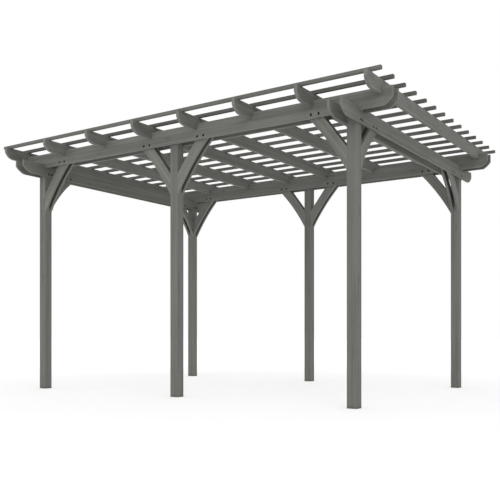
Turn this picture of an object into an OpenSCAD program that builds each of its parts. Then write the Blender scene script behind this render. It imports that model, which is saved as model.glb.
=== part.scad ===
// Garden pergola: six posts between twin-board beams and braces, notched rafters, a slatted top.
// X runs along the long side, Y from front to back, Z up from the ground.

/* [Posts] */
// Side of the square posts
post_w = 92; // [80:1:110]
// Distance between post centres along the long side
post_pitch_x = 1897; // [1600:1:1980]
// Distance between the front and the back row of posts
post_pitch_y = 2645; // [2200:1:2860]
// Height from the ground to the underside of the long beams
clear_h = 2448; // [2100:1:2800]

/* [Beams] */
// Thickness of each of the two boards of a beam
board_t = 20; // [15:1:28]
// Height of the long beams
long_beam_h = 152; // [130:1:190]
// Length of the long beams, tip to tip
long_beam_len = 4530; // [4450:1:5200]
// Height of the side beams
side_beam_h = 129; // [120:1:160]
// Length of the side beams, tip to tip
side_beam_len = 3354; // [3260:1:3800]
// How far the side beams hang below the long beams
side_drop = 91; // [75:1:110]

/* [Rafters] */
// Number of rafters
rafter_n = 8; // [4:2:8]
// Distance between rafter centres
rafter_pitch = 624; // [560:1:625]
// Distance between the two rafters in the middle
middle_bay = 565; // [500:1:625]
// Thickness of a rafter
rafter_t = 32; // [20:1:45]
// Height of a rafter
rafter_h = 121; // [100:1:140]
// Length of a rafter, tip to tip
rafter_len = 3318; // [3250:1:3700]
// Depth of the notch that seats a rafter over a long beam
seat_depth = 57; // [30:1:70]

/* [Slats] */
// Number of slats
slat_n = 14; // [8:1:14]
// Distance between slat centres
slat_pitch = 244.6; // [200:0.1:250]
// Width of a slat
slat_w = 35; // [25:1:50]
// Height of a slat
slat_h = 30; // [20:1:45]
// Length of a slat, tip to tip
slat_len = 4514; // [4400:1:5000]

/* [Shaped ends] */
// Length of the rounded undercut on the end of a long beam
long_nose_len = 79; // [50:1:110]
// Height of that undercut
long_nose_h = 67; // [50:1:100]
// Length of the rounded undercut on the end of a side beam
side_nose_len = 108; // [60:1:130]
// Height of that undercut
side_nose_h = 67; // [50:1:90]
// Radius of the undercut on the beam ends
beam_nose_r = 220; // [150:1:400]
// Length of the rounded undercut on the end of a rafter
rafter_nose_len = 108; // [80:1:130]
// Height of that undercut
rafter_nose_h = 70; // [50:1:85]
// Radius of the undercut on the rafter ends
rafter_nose_r = 120; // [110:1:400]

/* [Braces] */
// Thickness of each of the two boards of a brace
brace_t = 27; // [18:1:34]
// How far the head of a brace rises between the boards of its beam
brace_head = 75; // [40:1:80]
// Reach along a long beam of the outer, curved edge
long_outer_x = 354; // [300:1:400]
// Reach down the post of that edge
long_outer_z = 478; // [380:1:520]
// Reach along a long beam of the inner, straight edge
long_inner_x = 215; // [150:1:230]
// Reach down the post of the inner edge
long_inner_z = 281; // [200:1:300]
// Reach along a side beam of the outer, curved edge
side_outer_y = 316; // [280:1:380]
// Reach down the post of that edge
side_outer_z = 365; // [300:1:400]
// Reach along a side beam of the inner, straight edge
side_inner_y = 169; // [120:1:210]
// Reach down the post of the inner edge
side_inner_z = 183; // [140:1:230]
// Radius of the curved edge under a long beam
long_brace_r = 2300; // [1200:10:4000]
// Radius of the curved edge under a side beam
side_brace_r = 1200; // [900:10:4000]

/* [Finish] */
// Chamfer along the edges of posts and beams
ease = 2; // [1:0.5:5]
// Chamfer along the edges of rafters and slats
slat_ease = 1.5; // [1:0.5:5]

/* [Hidden] */
beam_w = post_w + 2 * board_t;
lap = side_beam_h - side_drop;
side_z = clear_h - side_drop;
beam_top = clear_h + long_beam_h;
rafter_z = beam_top - seat_depth;
slat_z = rafter_z + rafter_h;
over = 1;
stain = [0.44, 0.45, 0.42];
$fn = 360;

rows = ["front", "back"];
columns = ["left", "middle", "right"];
ends = ["left", "right"];

function row_y(r) = (r - 0.5) * post_pitch_y;
function column_x(c) = (c - 1) * post_pitch_x;
function end_x(e) = (2 * e - 1) * post_pitch_x;
function sign_of(k) = 2 * k - 1;
function centred(i, n) = i - (n + 1) / 2;
// Rafters lie in two even rows, either side of the middle bay
function rafter_x(i) =
    let (k = centred(i, rafter_n))
    sign(k) * (middle_bay / 2 + (abs(k) - 0.5) * rafter_pitch);
function two_digits(i) = str(i < 10 ? "0" : "", i);

function post_name(r, c) = str("post_", rows[r], "_", columns[c]);
function long_beam_name(r) = str("beam_", rows[r]);
function side_beam_name(e) = str("beam_", ends[e]);
function rafter_name(i) = str("rafter_", i);
function slat_name(i) = str("slat_", two_digits(i));
function long_brace_name(r, c, s) =
    str("brace_", rows[r], "_", columns[c], c == 1 ? str("_", ends[s]) : "");
function side_brace_name(e, r) = str("brace_", ends[e], "_", rows[r]);

// A corner post has one brace along the long beam, a middle post has two.
long_braces = [
    for (r = [0, 1], c = [0 : 2], s = [0, 1])
        if (c == 1 || (c == 0 && s == 1) || (c == 2 && s == 0)) [r, c, s]
];

// Centre of the circle of radius r through p and q, on the left of the way from p to q
function arc_centre(p, q, r) =
    let (d = q - p, l = norm(d))
    (p + q) / 2 + [-d[1], d[0]] / l * sqrt(r * r - l * l / 4);

// Section of a timber with its four edges chamfered, standing on the X axis
module eased_section(w, h, e) {
    polygon([
        [-w / 2, e], [-w / 2 + e, 0], [w / 2 - e, 0], [w / 2, e],
        [w / 2, h - e], [w / 2 - e, h], [-w / 2 + e, h], [-w / 2, h - e]
    ]);
}

// Straight timber along X with chamfered edges
module eased_bar(len, w, h, e) {
    translate([-len / 2, 0, 0])
        rotate([90, 0, 90])
            linear_extrude(len)
                eased_section(w, h, e);
}

// Side view of a timber whose two ends are cut back below in a full curve
module shaped_outline(len, h, nose_len, nose_h, nose_r) {
    heel = [len / 2 - nose_len, 0];
    tip = [len / 2, nose_h];
    difference() {
        translate([-len / 2, 0])
            square([len, h]);
        for (k = [0, 1])
            mirror([k, 0])
                difference() {
                    translate([heel[0], -over])
                        square([nose_len + over, nose_h + over]);
                    translate(arc_centre(heel, tip, nose_r))
                        circle(nose_r);
                }
    }
}

// Timber along X with shaped ends and chamfered edges
module shaped_bar(len, w, h, nose_len, nose_h, nose_r, e) {
    intersection() {
        eased_bar(len, w, h, e);
        rotate([90, 0, 0])
            linear_extrude(w + 2 * over, center = true)
                shaped_outline(len, h, nose_len, nose_h, nose_r);
    }
}

// Two like boards along X whose outer faces are w apart
module board_pair(w, t) {
    for (k = [0, 1])
        translate([0, sign_of(k) * (w - t) / 2, 0])
            children();
}

// Half lap slots across a board along X, one for each board of the beam that crosses at x
module lap_slots(x, z) {
    for (k = [0, 1])
        translate([x + sign_of(k) * (beam_w - board_t) / 2 - board_t / 2, -board_t / 2 - over, z])
            cube([board_t, board_t + 2 * over, lap / 2 + over]);
}

// Knee brace in the corner under a beam, the post at its left, cut to a hollow curve
module brace_profile(inner_x, inner_z, outer_x, outer_z, r) {
    margin = 2 * brace_head;
    difference() {
        polygon([
            [0, -inner_z], [inner_x * (1 + brace_head / inner_z), brace_head],
            [outer_x + margin, brace_head], [0, -outer_z - margin]
        ]);
        translate(arc_centre([outer_x, 0], [0, -outer_z], r))
            circle(r);
    }
}

// Every post runs up between the boards to the top of the long beams.
module post(r, c) {
    color(stain)
        translate([column_x(c), row_y(r) - post_w / 2, 0])
            linear_extrude(beam_top)
                eased_section(post_w, post_w, ease);
}

// The boards of the long beams are slotted below, where they drop over the side beams.
module long_beam(r) {
    color(stain)
        translate([0, row_y(r), clear_h])
            board_pair(beam_w, board_t)
                difference() {
                    shaped_bar(
                        long_beam_len, board_t, long_beam_h,
                        long_nose_len, long_nose_h, beam_nose_r, ease
                    );
                    for (e = [0, 1])
                        lap_slots(end_x(e), -over);
                }
}

// The boards of the side beams are slotted above by the other half of the lap.
module side_beam(e) {
    color(stain)
        translate([end_x(e), 0, side_z])
            rotate(90)
                board_pair(beam_w, board_t)
                    difference() {
                        shaped_bar(
                            side_beam_len, board_t, side_beam_h,
                            side_nose_len, side_nose_h, beam_nose_r, ease
                        );
                        for (r = [0, 1])
                            lap_slots(row_y(r), side_beam_h - lap / 2);
                    }
}

module rafter(i) {
    color(stain)
        translate([rafter_x(i), 0, rafter_z])
            rotate(90)
                difference() {
                    shaped_bar(
                        rafter_len, rafter_t, rafter_h,
                        rafter_nose_len, rafter_nose_h, rafter_nose_r, slat_ease
                    );
                    for (r = [0, 1])
                        translate([row_y(r) - beam_w / 2, -rafter_t / 2 - over, -over])
                            cube([beam_w, rafter_t + 2 * over, seat_depth + over]);
                }
}

module slat(i) {
    color(stain)
        translate([0, centred(i, slat_n) * slat_pitch, slat_z])
            eased_bar(slat_len, slat_w, slat_h, slat_ease);
}

module long_brace(r, c, s) {
    color(stain)
        translate([column_x(c) + sign_of(s) * post_w / 2, row_y(r), clear_h])
            mirror([1 - s, 0, 0])
                board_pair(post_w, brace_t)
                    rotate([90, 0, 0])
                        linear_extrude(brace_t, center = true)
                            brace_profile(
                                long_inner_x, long_inner_z,
                                long_outer_x, long_outer_z, long_brace_r
                            );
}

module side_brace(e, r) {
    color(stain)
        translate([end_x(e), row_y(r) - sign_of(r) * post_w / 2, side_z])
            mirror([0, r, 0])
                rotate(90)
                    board_pair(post_w, brace_t)
                        rotate([90, 0, 0])
                            linear_extrude(brace_t, center = true)
                                brace_profile(
                                    side_inner_y, side_inner_z,
                                    side_outer_y, side_outer_z, side_brace_r
                                );
}

for (r = [0, 1], c = [0 : 2])
    post(r, c);
for (r = [0, 1])
    long_beam(r);
for (e = [0, 1])
    side_beam(e);
for (i = [1 : rafter_n])
    rafter(i);
for (i = [1 : slat_n])
    slat(i);
for (b = long_braces)
    long_brace(b[0], b[1], b[2]);
for (e = [0, 1], r = [0, 1])
    side_brace(e, r);
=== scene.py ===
import math
import random

import bpy
from mathutils import Matrix, Vector


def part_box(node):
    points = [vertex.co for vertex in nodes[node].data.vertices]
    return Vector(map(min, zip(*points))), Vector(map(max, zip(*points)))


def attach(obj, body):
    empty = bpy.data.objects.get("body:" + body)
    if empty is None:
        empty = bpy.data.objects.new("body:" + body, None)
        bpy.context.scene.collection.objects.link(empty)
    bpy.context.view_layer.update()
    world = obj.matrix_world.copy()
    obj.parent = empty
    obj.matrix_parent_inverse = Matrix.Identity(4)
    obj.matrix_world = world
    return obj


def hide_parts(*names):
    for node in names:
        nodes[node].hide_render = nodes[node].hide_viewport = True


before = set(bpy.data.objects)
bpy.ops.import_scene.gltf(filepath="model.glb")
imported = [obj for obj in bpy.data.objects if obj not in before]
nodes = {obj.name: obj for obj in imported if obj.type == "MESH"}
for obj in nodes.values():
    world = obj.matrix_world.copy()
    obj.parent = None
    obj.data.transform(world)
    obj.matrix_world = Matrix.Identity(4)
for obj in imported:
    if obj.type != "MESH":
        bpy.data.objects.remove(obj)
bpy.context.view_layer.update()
scene = bpy.context.scene
dice = random.Random(14)  # every random draw comes from here, in this order
print("frame loaded with", len(nodes), "timbers")

mm = 0.001


# small helpers for the operators

def makeActive(piece):
    bpy.ops.object.select_all(action="DESELECT")
    piece.select_set(True)
    bpy.context.view_layer.objects.active = piece


def applyModifier(piece, kind, **settings):
    makeActive(piece)
    modifier = piece.modifiers.new(kind.lower(), kind)
    for key, value in settings.items():
        setattr(modifier, key, value)
    bpy.ops.object.modifier_apply(modifier=modifier.name)


def addObject(name, mesh):
    piece = bpy.data.objects.new(name, mesh)
    scene.collection.objects.link(piece)
    return piece


def removeObject(piece):
    mesh = piece.data
    bpy.data.objects.remove(piece)
    bpy.data.meshes.remove(mesh)


def copyTo(model, place, outward):
    # a copy with its own mesh, its +Z turned to the outward direction
    piece = addObject(model.name, model.data.copy())
    turn = Vector(outward).to_track_quat("Z", "Y").to_matrix().to_4x4()
    piece.data.transform(Matrix.Translation(place) @ turn)
    return piece


def joinAll(pieces, name):
    bpy.ops.object.select_all(action="DESELECT")
    for piece in pieces:
        piece.select_set(True)
    bpy.context.view_layer.objects.active = pieces[0]
    bpy.ops.object.join()
    pieces[0].name = name
    return pieces[0]


# small helpers for the materials

def addNode(tree, kind, inputs=None, **settings):
    made = tree.nodes.new("ShaderNode" + kind)
    for key, value in settings.items():
        setattr(made, key, value)
    for key, value in (inputs or {}).items():
        if isinstance(value, bpy.types.NodeSocket):
            tree.links.new(value, made.inputs[key])
        else:
            made.inputs[key].default_value = value
    return made


def addMath(tree, operation, first, second):
    return addNode(tree, "Math", {0: first, 1: second}, operation=operation).outputs[0]


def stretch(tree, vector, scale):
    return addNode(tree, "Mapping", {"Vector": vector, "Scale": scale}).outputs[0]


def noiseOn(tree, vector, detail, roughness=0.55):
    inputs = {"Vector": vector, "Scale": 1.0, "Detail": detail, "Roughness": roughness}
    return addNode(tree, "TexNoise", inputs)


def ramp(tree, value, stops):
    made = addNode(tree, "ValToRGB", {"Fac": value})
    elements = made.color_ramp.elements
    while len(elements) < len(stops):
        elements.new(0.5)
    for element, (position, grey) in zip(elements, stops):
        element.position = position
        element.color = (grey, grey, grey, 1)
    return made.outputs[0]


def mixColour(tree, factor, first, second, blend="MIX"):
    made = addNode(tree, "Mix", {"Factor": factor}, data_type="RGBA", blend_type=blend)
    for socket, value in ((made.inputs[6], first), (made.inputs[7], second)):
        if isinstance(value, bpy.types.NodeSocket):
            tree.links.new(value, socket)
        else:
            socket.default_value = value
    return made.outputs[2]


def newMaterial(name):
    made = bpy.data.materials.new(name)
    made.use_nodes = True
    return made, made.node_tree, made.node_tree.nodes["Principled BSDF"]


# grey stained softwood, its growth rings round a pith line that each timber carries with it
stain = {
    "dark": (0.103, 0.105, 0.092, 1),
    "light": (0.211, 0.214, 0.194, 1),
    # lighter colour of the eased edges: partly wear, partly painted highlight
    "wornAndHighlight": (0.285, 0.287, 0.265, 1),
    "knot": (0.084, 0.086, 0.075, 1),
    "endGrain": 1.05,
    # level of the painted shade on faces in the gap of a pair and under the roof
    "paintedShade": 0.65,
    # painted shade at the feet, and how high it reaches
    "footShade": 0.7,
    "footShadeTop": 24 * mm,
    "drift": 22 * mm,
    "relief": 0.8 * mm,
}

# how often each pattern repeats along and across the grain, per metre
repeats = {
    "wander": (0.9, 5, 5),
    "fibre": (4, 190, 190),
    "pores": (26, 820, 820),
    "streaks": (0.6, 34, 34),
    "patches": (1.3, 7, 7),
    "knots": (2.2, 11, 11),
}

# how much each pattern counts in the colour
weights = {"rings": 0.24, "fibre": 0.34, "streaks": 0.75, "patches": 0.22}


def stainedWood(name, ringGap, toneSpread, bump, depth=1.0):
    made, tree, shader = newMaterial(name)
    grain = addNode(tree, "Attribute", attribute_name="grain").outputs["Vector"]
    tone = addNode(tree, "Attribute", attribute_name="tone").outputs["Fac"]
    wearAndHighlight = addNode(tree, "Attribute", attribute_name="wearAndHighlight").outputs["Fac"]
    endCut = addNode(tree, "Attribute", attribute_name="end_cut").outputs["Fac"]
    # painted shade on faces in the gap of a pair and under the roof
    paintedShade = addNode(tree, "Attribute", attribute_name="paintedShade").outputs["Fac"]

    # the grain wanders a little from side to side along the timber
    wander = noiseOn(tree, stretch(tree, grain, repeats["wander"]), 2).outputs["Color"]
    centred = addNode(tree, "VectorMath", {0: wander, 1: (0.5, 0.5, 0.5)}, operation="SUBTRACT").outputs[0]
    reach = (0, stain["drift"], stain["drift"])
    drift = addNode(tree, "VectorMath", {0: centred, 1: reach}, operation="MULTIPLY").outputs[0]
    bent = addNode(tree, "VectorMath", {0: grain, 1: drift}, operation="ADD").outputs[0]

    ringScale = 2 * math.pi / (20 * ringGap)  # the wave texture multiplies lengths by 20
    rings = addNode(
        tree, "TexWave",
        {"Vector": bent, "Scale": ringScale, "Distortion": 1.2, "Detail": 2.0, "Detail Scale": 0.6},
        wave_type="RINGS", rings_direction="X", wave_profile="SAW",
    ).outputs["Fac"]
    latewood = ramp(tree, rings, [(0.0, 0.55), (0.25, 1.0), (0.7, 0.72), (0.93, 0.2), (1.0, 0.5)])
    fibre = noiseOn(tree, stretch(tree, bent, repeats["fibre"]), 4, 0.62).outputs["Fac"]
    pores = noiseOn(tree, stretch(tree, grain, repeats["pores"]), 2).outputs["Fac"]
    streaks = noiseOn(tree, stretch(tree, bent, repeats["streaks"]), 3).outputs["Fac"]
    patches = noiseOn(tree, stretch(tree, grain, repeats["patches"]), 3).outputs["Fac"]

    figure = addMath(tree, "MULTIPLY", latewood, weights["rings"])
    patterns = {"fibre": fibre, "streaks": streaks, "patches": patches}
    for label, pattern in patterns.items():
        figure = addMath(tree, "ADD", figure, addMath(tree, "MULTIPLY", pattern, weights[label]))
    figure = addMath(tree, "ADD", figure, addMath(tree, "MULTIPLY", tone, toneSpread))
    share = ramp(tree, figure, [(0.45, 0.0), (1.0, 1.0)])
    colour = mixColour(tree, share, stain["dark"], stain["light"])

    # small knots, a few to a timber
    spread = stretch(tree, bent, repeats["knots"])
    cells = addNode(tree, "TexVoronoi", {"Vector": spread, "Scale": 1.0, "Randomness": 1.0}, feature="F1")
    knot = ramp(tree, cells.outputs["Distance"], [(0.04, 0.6), (0.10, 0.15), (0.14, 0.0)])
    colour = mixColour(tree, knot, colour, stain["knot"])

    # the feet are darkened up to a ragged line: painted shade where the posts stand on the floor
    place = addNode(tree, "TexCoord").outputs["Object"]
    height = addNode(tree, "SeparateXYZ", {0: place}).outputs["Z"]
    line = addMath(tree, "MULTIPLY", patches, 2 * stain["footShadeTop"])
    fade = {"Value": height, "From Max": line, "To Min": 1.0, "To Max": 0.0}
    footShade = addNode(tree, "MapRange", fade).outputs[0]

    # sawn ends have weathered paler, the faces in the gap of a pair and under the roof and the feet
    # are darkened as painted shade, and the eased edges are lighter in broken patches: partly rubbed wear,
    # partly painted highlight
    levels = ((endCut, stain["endGrain"]), (paintedShade, stain["paintedShade"]), (footShade, stain["footShade"]))
    for where, level in levels:
        colour = mixColour(tree, where, colour, (level, level, level, 1), "MULTIPLY")
    # eased edges lighter in broken patches: partly rubbed wear, partly painted highlight
    rubbedAndHighlit = addMath(tree, "MULTIPLY", wearAndHighlight, ramp(tree, fibre, [(0.35, 0.45), (0.65, 0.95)]))
    colour = mixColour(tree, rubbedAndHighlit, colour, stain["wornAndHighlight"])
    # depth scales the whole colour: a stain level on posts and beams, and on the slats painted shade that
    # darkens them all over
    colour = mixColour(tree, 1.0, colour, (depth, depth, depth, 1), "MULTIPLY")
    tree.links.new(colour, shader.inputs["Base Color"])

    gloss = ramp(tree, fibre, [(0.2, 0.88), (0.8, 0.68)])
    tree.links.new(gloss, shader.inputs["Roughness"])
    shader.inputs["Specular IOR Level"].default_value = 0.35

    relief = addMath(tree, "ADD", addMath(tree, "MULTIPLY", latewood, 0.4), fibre)
    relief = addMath(tree, "ADD", relief, addMath(tree, "MULTIPLY", pores, 0.35))
    raised = addNode(tree, "Bump", {"Strength": bump, "Distance": stain["relief"], "Height": relief})
    tree.links.new(raised.outputs["Normal"], shader.inputs["Normal"])
    return made


woods = {
    "post": stainedWood("post_stain", ringGap=5.5 * mm, toneSpread=0.05, bump=0.35, depth=0.86),
    "beam": stainedWood("beam_stain", ringGap=5.0 * mm, toneSpread=0.05, bump=0.35, depth=0.93),
    "rafter": stainedWood("rafter_stain", ringGap=4.5 * mm, toneSpread=0.09, bump=0.35),
    # the slats' lower depth is painted shade
    "slat": stainedWood("slat_stain", ringGap=4.0 * mm, toneSpread=0.10, bump=0.30, depth=0.75),
    "brace": stainedWood("brace_stain", ringGap=5.0 * mm, toneSpread=0.07, bump=0.35),
}
print("wood finishes ready:", len(woods))


# dark coated steel of the bolts and plain steel of the screws, mottled and lightly scuffed
coat = {"mottle": (420, 420, 420), "scuff": (1500, 1500, 1500), "relief": 0.1 * mm}


def coatedSteel(name, dark, light, metallic, specular):
    made, tree, shader = newMaterial(name)
    place = addNode(tree, "TexCoord").outputs["Object"]
    mottle = noiseOn(tree, stretch(tree, place, coat["mottle"]), 3).outputs["Fac"]
    scuff = noiseOn(tree, stretch(tree, place, coat["scuff"]), 2).outputs["Fac"]
    colour = mixColour(tree, ramp(tree, mottle, [(0.3, 0.0), (0.75, 1.0)]), dark, light)
    tree.links.new(colour, shader.inputs["Base Color"])
    tree.links.new(ramp(tree, mottle, [(0.2, 0.62), (0.8, 0.38)]), shader.inputs["Roughness"])
    shader.inputs["Metallic"].default_value = metallic
    shader.inputs["Specular IOR Level"].default_value = specular
    raised = addNode(tree, "Bump", {"Strength": 0.2, "Distance": coat["relief"], "Height": scuff})
    tree.links.new(raised.outputs["Normal"], shader.inputs["Normal"])
    return made


boltSteel = coatedSteel(
    "bolt_steel", dark=(0.010, 0.010, 0.010, 1), light=(0.026, 0.026, 0.025, 1), metallic=0.0, specular=0.05,
)
screwSteel = coatedSteel(
    "screw_steel", dark=(0.10, 0.10, 0.095, 1), light=(0.22, 0.22, 0.21, 1), metallic=0.7, specular=0.5,
)


# timbers: each is a welded copy of its solid, with softened edges and its own grain
timber = {
    "weldGap": 0.02 * mm,
    "flatAngle": math.radians(0.4),
    "sharpAngle": math.radians(28),
    "edge": {"post": 2.2 * mm, "beam": 2.2 * mm, "rafter": 1.2 * mm, "slat": 1.2 * mm, "brace": 2.5 * mm},
    "pith": {"post": 26 * mm, "beam": 34 * mm, "rafter": 70 * mm, "slat": 48 * mm, "brace": 44 * mm},
    "boards": {"post": 1, "beam": 2, "rafter": 1, "slat": 1, "brace": 2},
    # share of the lighter edge colour per kind: partly wear, partly painted highlight
    "wearAndHighlight": {"post": 0.4, "beam": 1.0, "rafter": 0.6, "slat": 0.4, "brace": 1.0},
    "outermost": ("rafter_1", "rafter_8", "slat_01", "slat_14"),
    # how strongly each kind takes the painted shade on its covered faces
    "paintedShade": {"beam": 0.4, "rafter": 0.65, "slat": 0.77, "brace": 1.0},
    "facing": 0.5,
    "endFrom": 0.4,
    "endFull": 0.8,
    "segments": 2,
}


def copyTimber(nodeName):
    piece = addObject(nodeName + "_timber", nodes[nodeName].data.copy())
    piece.data.materials.clear()
    makeActive(piece)
    bpy.ops.mesh.customdata_custom_splitnormals_clear()
    bpy.ops.object.mode_set(mode="EDIT")
    bpy.ops.mesh.select_all(action="SELECT")
    bpy.ops.mesh.remove_doubles(threshold=timber["weldGap"])
    bpy.ops.mesh.dissolve_limited(angle_limit=timber["flatAngle"])
    bpy.ops.object.mode_set(mode="OBJECT")
    return piece


def softenEdges(piece, width, wearAndHighlightShare):
    # the bevel puts its own faces in the second slot, which marks them for the lighter edge colour: partly
    # wear, partly painted highlight
    piece.data.materials.append(None)
    piece.data.materials.append(None)
    applyModifier(
        piece, "BEVEL", width=width, segments=timber["segments"], material=1,
        limit_method="ANGLE", angle_limit=timber["sharpAngle"],
    )
    wearAndHighlight = piece.data.attributes.new("wearAndHighlight", "FLOAT", "CORNER")
    for face in piece.data.polygons:
        for corner in face.loop_indices:
            wearAndHighlight.data[corner].value = face.material_index * wearAndHighlightShare
        face.material_index = 0
    piece.data.materials.pop(index=1)


def layGrain(piece, along, pith, boards):
    # the two boards of a pair lie either side of the middle, each with grain of its own
    along = Vector(along).normalized()
    side = Vector((0, 1, 0)) if abs(along.y) < timber["facing"] else Vector((1, 0, 0))
    up = along.cross(side).normalized()
    side = up.cross(along)
    corners = [Vector(corner) for corner in piece.bound_box]
    middle = sum(corners, Vector()) / len(corners)
    starts, tones = [], []
    for _ in range(boards):
        angle = dice.uniform(0, 2 * math.pi)
        starts.append(Vector((dice.uniform(0, 50), pith * math.cos(angle), pith * math.sin(angle))))
        tones.append(dice.uniform(-1, 1))
    reaches = [vertex.co - middle for vertex in piece.data.vertices]
    picks = [int(boards == 2 and reach.dot(side) > 0) for reach in reaches]
    grain = piece.data.attributes.new("grain", "FLOAT_VECTOR", "POINT")
    for reach, pick, spot in zip(reaches, picks, grain.data):
        spot.vector = starts[pick] + Vector((reach.dot(along), reach.dot(side), reach.dot(up)))
    tone = piece.data.attributes.new("tone", "FLOAT", "POINT")
    for pick, spot in zip(picks, tone.data):
        spot.value = tones[pick]
    endCut = piece.data.attributes.new("end_cut", "FLOAT", "FACE")
    for face, spot in zip(piece.data.polygons, endCut.data):
        turned = abs(face.normal.dot(along)) - timber["endFrom"]
        spot.value = min(max(turned / (timber["endFull"] - timber["endFrom"]), 0), 1)


def layPaintedShade(piece, nodeName, kind):
    # painted shade on the faces in the gap of a pair and under the roof, none on the open outer faces
    low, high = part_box(nodeName)
    middle = (low + high) / 2
    size = high - low
    across = min((0, 1), key=lambda k: size[k])
    paintedShade = piece.data.attributes.new("paintedShade", "FLOAT", "FACE")
    for face, spot in zip(piece.data.polygons, paintedShade.data):
        sideways = face.normal[across]
        broad = abs(sideways) > timber["facing"]
        inward = sideways * middle[across] < 0
        outer = nodeName in timber["outermost"] and not inward
        inGap = (middle - face.center)[across] * sideways > 0
        covered = {
            "post": False,
            "beam": broad and (inGap or inward),
            "rafter": broad and not outer,
            "slat": face.normal.z < timber["facing"] and not outer,
            "brace": broad and inGap,
        }
        if covered[kind]:
            # this face gets painted shade
            spot.value = timber["paintedShade"][kind]


def shadeTimber(piece):
    makeActive(piece)
    bpy.ops.object.shade_smooth()
    applyModifier(piece, "WEIGHTED_NORMAL", mode="FACE_AREA", weight=100, keep_sharp=False)


def grainOf(nodeName, kind):
    low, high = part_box(nodeName)
    size = high - low
    if kind != "brace":
        return [(1, 0, 0), (0, 1, 0), (0, 0, 1)][max(range(3), key=lambda k: size[k])]
    # a brace rises away from its post, so the grain follows the diagonal
    middle = (low + high) / 2
    posts = [sum(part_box(name), Vector()) / 2 for name in nodes if name.startswith("post")]
    post = min(posts, key=lambda p: (p - middle).xy.length)
    lean = middle - post
    if size.x > size.y:
        return (math.copysign(size.x, lean.x), 0, size.z)
    return (0, math.copysign(size.y, lean.y), size.z)


timbers = {}
for nodeName in sorted(nodes):
    kind = nodeName.split("_")[0]
    piece = copyTimber(nodeName)
    softenEdges(piece, timber["edge"][kind], timber["wearAndHighlight"][kind])
    timbers[nodeName] = piece
print("timbers copied and eased:", len(timbers))


# bolts: a pair over the head of each brace and, on the side beams, over each corner post,
# on both faces of the beam
bolt = {
    "headRadius": 11 * mm,
    "headHeight": 7 * mm,
    "socketRadius": 5 * mm,
    "socketDepth": 4 * mm,
    "boreRadius": 12.5 * mm,
    "boreDepth": 8 * mm,
    "sides": 24,
    "socketSides": 6,
    "ease": 0.7 * mm,
    "sharpAngle": math.radians(50),
    "gapLong": 74 * mm,
    "gapSide": 62 * mm,
    "gapPost": 38 * mm,
    "alongLong": 290 * mm,
    "alongSide": 234 * mm,
    "postShift": 9 * mm,
    "riseLong": 32 * mm,
    "riseSide": 28 * mm,
}


def makeBolt():
    bpy.ops.object.select_all(action="DESELECT")
    bpy.ops.mesh.primitive_cylinder_add(
        vertices=bolt["sides"], radius=bolt["headRadius"], depth=bolt["headHeight"],
        location=(0, 0, bolt["headHeight"] / 2 - bolt["boreDepth"]),
    )
    head = bpy.context.active_object
    bpy.ops.object.transform_apply(location=True, rotation=True, scale=True)
    bpy.ops.mesh.primitive_cylinder_add(
        vertices=bolt["socketSides"], radius=bolt["socketRadius"], depth=2 * bolt["socketDepth"],
        location=(0, 0, bolt["headHeight"] - bolt["boreDepth"]),
    )
    socket = bpy.context.active_object
    applyModifier(head, "BOOLEAN", object=socket, operation="DIFFERENCE", solver="EXACT")
    removeObject(socket)
    applyModifier(
        head, "BEVEL", width=bolt["ease"], segments=2, limit_method="ANGLE", angle_limit=bolt["sharpAngle"],
    )
    head.name = "bolt"
    head.data.materials.append(boltSteel)
    return head


def makeBore():
    bpy.ops.object.select_all(action="DESELECT")
    bpy.ops.mesh.primitive_cylinder_add(
        vertices=bolt["sides"], radius=bolt["boreRadius"], depth=2 * bolt["boreDepth"], location=(0, 0, 0),
    )
    bore = bpy.context.active_object
    bore.name = "bore"
    return bore


def boltSpots(beamName):
    # places on the beam's two faces, with the direction that each looks
    low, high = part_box(beamName)
    lengthwise = 0 if beamName in ("beam_front", "beam_back") else 1
    across = 1 - lengthwise
    posts = [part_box(name) for name in nodes if name.startswith("post")]
    braces = [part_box(name) for name in nodes if name.startswith("brace_" + beamName.split("_")[1])]
    run = "Long" if lengthwise == 0 else "Side"
    rise, reach, pairGap = bolt["rise" + run], bolt["along" + run], bolt["gap" + run]
    middles = []
    for braceLow, braceHigh in braces:
        nearest = min(posts, key=lambda p: ((p[0] + p[1] - braceLow - braceHigh) / 2).xy.length)
        leansUp = braceLow[lengthwise] > (nearest[0] + nearest[1])[lengthwise] / 2
        place = braceLow[lengthwise] + reach if leansUp else braceHigh[lengthwise] - reach
        middles.append((place, pairGap))
        if lengthwise == 1:
            inward = 1 if leansUp else -1
            postMiddle = (nearest[0] + nearest[1])[lengthwise] / 2
            middles.append((postMiddle + inward * bolt["postShift"], bolt["gapPost"]))
    spots = []
    for place, gap in middles:
        for along in (place - gap / 2, place + gap / 2):
            for face, outward in ((low[across], -1), (high[across], 1)):
                spot = Vector((0, 0, low.z + rise))
                spot[lengthwise] = along
                spot[across] = face
                looks = Vector((0, 0, 0))
                looks[across] = outward
                spots.append((spot, looks))
    return spots


boltModel = makeBolt()
boreModel = makeBore()
boltSets = []
for beamName in ("beam_front", "beam_back", "beam_left", "beam_right"):
    spots = boltSpots(beamName)
    bores = joinAll([copyTo(boreModel, *spot) for spot in spots], "bores")
    applyModifier(timbers[beamName], "BOOLEAN", object=bores, operation="DIFFERENCE", solver="EXACT")
    removeObject(bores)
    boltSets.append(joinAll([copyTo(boltModel, *spot) for spot in spots], "bolts_" + beamName))
removeObject(boltModel)
removeObject(boreModel)
print("bolts set into the beams:", len(boltSets), "sets")


# deck screws: one through each slat into each rafter below it
screw = {
    "radius": 4.4 * mm,
    "height": 2.6 * mm,
    "proud": 0.5 * mm,
    "sides": 14,
    "drive": 1.9 * mm,
    "driveDepth": 1.6 * mm,
    "driveSides": 4,
    "ease": 0.4 * mm,
    "sharpAngle": math.radians(50),
}


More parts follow.
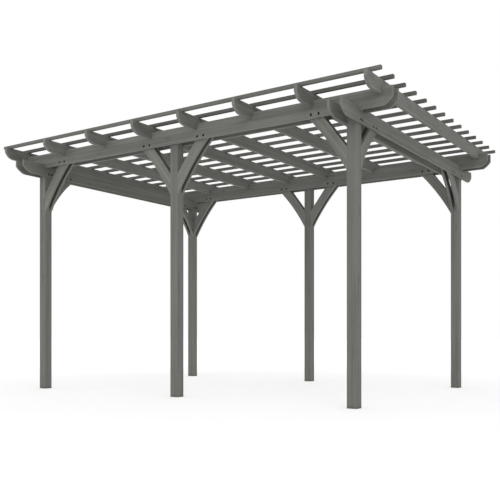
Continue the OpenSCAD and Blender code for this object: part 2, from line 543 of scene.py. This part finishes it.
def makeScrew():
    bpy.ops.object.select_all(action="DESELECT")
    top = screw["proud"]
    bpy.ops.mesh.primitive_cylinder_add(
        vertices=screw["sides"], radius=screw["radius"], depth=screw["height"],
        location=(0, 0, top - screw["height"] / 2),
    )
    head = bpy.context.active_object
    bpy.ops.object.transform_apply(location=True, rotation=True, scale=True)
    bpy.ops.mesh.primitive_cylinder_add(
        vertices=screw["driveSides"], radius=screw["drive"], depth=2 * screw["driveDepth"],
        location=(0, 0, top),
    )
    drive = bpy.context.active_object
    applyModifier(head, "BOOLEAN", object=drive, operation="DIFFERENCE", solver="EXACT")
    removeObject(drive)
    applyModifier(
        head, "BEVEL", width=screw["ease"], segments=1, limit_method="ANGLE", angle_limit=screw["sharpAngle"],
    )
    head.name = "screw"
    head.data.materials.append(screwSteel)
    return head


screwModel = makeScrew()
heads = []
for slatName in sorted(name for name in nodes if name.startswith("slat")):
    slatLow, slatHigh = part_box(slatName)
    for rafterName in sorted(name for name in nodes if name.startswith("rafter")):
        rafterLow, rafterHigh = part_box(rafterName)
        spot = Vector(((rafterLow.x + rafterHigh.x) / 2, (slatLow.y + slatHigh.y) / 2, slatHigh.z))
        heads.append(copyTo(screwModel, spot, (0, 0, 1)))
screwSet = joinAll(heads, "slat_screws")
removeObject(screwModel)
print("screws through the slats:", len(heads))


# finish of every piece, and the body that it belongs to
for nodeName, piece in timbers.items():
    kind = nodeName.split("_")[0]
    layGrain(piece, grainOf(nodeName, kind), timber["pith"][kind], timber["boards"][kind])
    layPaintedShade(piece, nodeName, kind)
    shadeTimber(piece)
    piece.data.materials.clear()
    piece.data.materials.append(woods[kind])
    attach(piece, "root")
    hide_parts(nodeName)
for piece in [*boltSets, screwSet]:
    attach(piece, "root")
print("pieces finished:", len(timbers) + len(boltSets) + 1)


# plain pale floor: white to the camera far out, with the soft shadow left in near the posts
floor = {
    "size": 90,
    "drop": 0.2 * mm,
    "seen": (0.9, 0.9, 0.9, 1),
    "bounce": (0.92, 0.92, 0.91, 1),
    "lift": 0.45,
    "glow": 1.1,
    "shadowEnd": 3.0,
    "whiteFrom": 7.0,
}


def seenAsWhite(tree):
    # 1 for the camera, and for what mirrors or lets through the background
    path = addNode(tree, "LightPath").outputs
    seen = addMath(tree, "MAXIMUM", path["Is Camera Ray"], path["Is Glossy Ray"])
    return addMath(tree, "MAXIMUM", seen, path["Is Transmission Ray"])


def makeFloor():
    bpy.ops.object.select_all(action="DESELECT")
    bpy.ops.mesh.primitive_plane_add(size=floor["size"], location=(0, 0, -floor["drop"]))
    plane = bpy.context.active_object
    plane.name = "floor"
    made, tree, shader = newMaterial("pale_floor")
    tree.nodes.remove(shader)
    seen = seenAsWhite(tree)
    colour = mixColour(tree, seen, floor["bounce"], floor["seen"])
    matt = addNode(tree, "BsdfDiffuse", {"Color": colour})
    white = addNode(tree, "Emission", {"Color": (1, 1, 1, 1), "Strength": floor["glow"]})
    spot = addNode(tree, "TexCoord").outputs["Object"]
    away = addNode(tree, "VectorMath", {0: spot}, operation="LENGTH").outputs["Value"]
    spread = {"From Min": floor["shadowEnd"], "From Max": floor["whiteFrom"], "To Min": floor["lift"]}
    fade = addNode(tree, "MapRange", {"Value": away, **spread}).outputs[0]
    lift = addMath(tree, "MULTIPLY", seen, fade)
    both = addNode(tree, "MixShader", {0: lift, 1: matt.outputs[0], 2: white.outputs[0]})
    tree.links.new(both.outputs[0], tree.nodes["Material Output"].inputs["Surface"])
    plane.data.materials.append(made)


makeFloor()

# soft even dome, brighter overhead, white where it is looked at
dome = {"horizon": 0.54, "overhead": 1.05}


def makeDome():
    world = bpy.data.worlds.new("studio")
    world.use_nodes = True
    scene.world = world
    tree = world.node_tree
    tree.nodes.clear()
    sky = addNode(tree, "TexCoord").outputs["Generated"]
    height = addNode(tree, "SeparateXYZ", {0: sky}).outputs["Z"]
    climb = {"Value": height, "To Min": dome["horizon"], "To Max": dome["overhead"]}
    level = addNode(tree, "MapRange", climb).outputs[0]
    light = addNode(tree, "Background", {"Color": (1, 1, 1, 1), "Strength": level})
    white = addNode(tree, "Background", {"Color": (1, 1, 1, 1), "Strength": 1.0})
    both = addNode(tree, "MixShader", {0: seenAsWhite(tree), 1: light.outputs[0], 2: white.outputs[0]})
    output = addNode(tree, "OutputWorld")
    tree.links.new(both.outputs[0], output.inputs["Surface"])


makeDome()

# large soft boxes, all turned to the middle of the pergola
aimPoint = Vector((0, 0, 1.5))
softBoxes = {
    "key": {"place": (5.5, -6.0, 7.0), "size": 6.0, "watts": 165},
    "fill": {"place": (-7.0, -7.0, 5.0), "size": 6.0, "watts": 110},
    "back": {"place": (-3.0, 9.0, 6.0), "size": 6.0, "watts": 130},
}
for name, box in softBoxes.items():
    bpy.ops.object.select_all(action="DESELECT")
    turn = (aimPoint - Vector(box["place"])).to_track_quat("-Z", "Y").to_euler()
    bpy.ops.object.light_add(type="AREA", location=box["place"], rotation=turn)
    lamp = bpy.context.active_object
    lamp.name = "soft_box_" + name
    lamp.data.size = box["size"]
    lamp.data.energy = box["watts"]
print("floor, dome and soft boxes in place")


# level camera low down at the front right corner, its frame shifted up to take in the roof
lens = {
    "place": (4.5219, -6.7975, 0.6434),
    "turn": (math.radians(90), 0, math.radians(33.769)),
    "focalLength": 52.163,
    "sensor": 36.0,
    "shiftAcross": -0.0006,
    "shiftUp": 0.1615,
}
bpy.ops.object.select_all(action="DESELECT")
bpy.ops.object.camera_add(location=lens["place"], rotation=lens["turn"])
camera = bpy.context.active_object
camera.data.lens = lens["focalLength"]
camera.data.sensor_width = lens["sensor"]
camera.data.shift_x = lens["shiftAcross"]
camera.data.shift_y = lens["shiftUp"]
scene.camera = camera
scene.view_settings.view_transform = "Standard"
print("camera set")
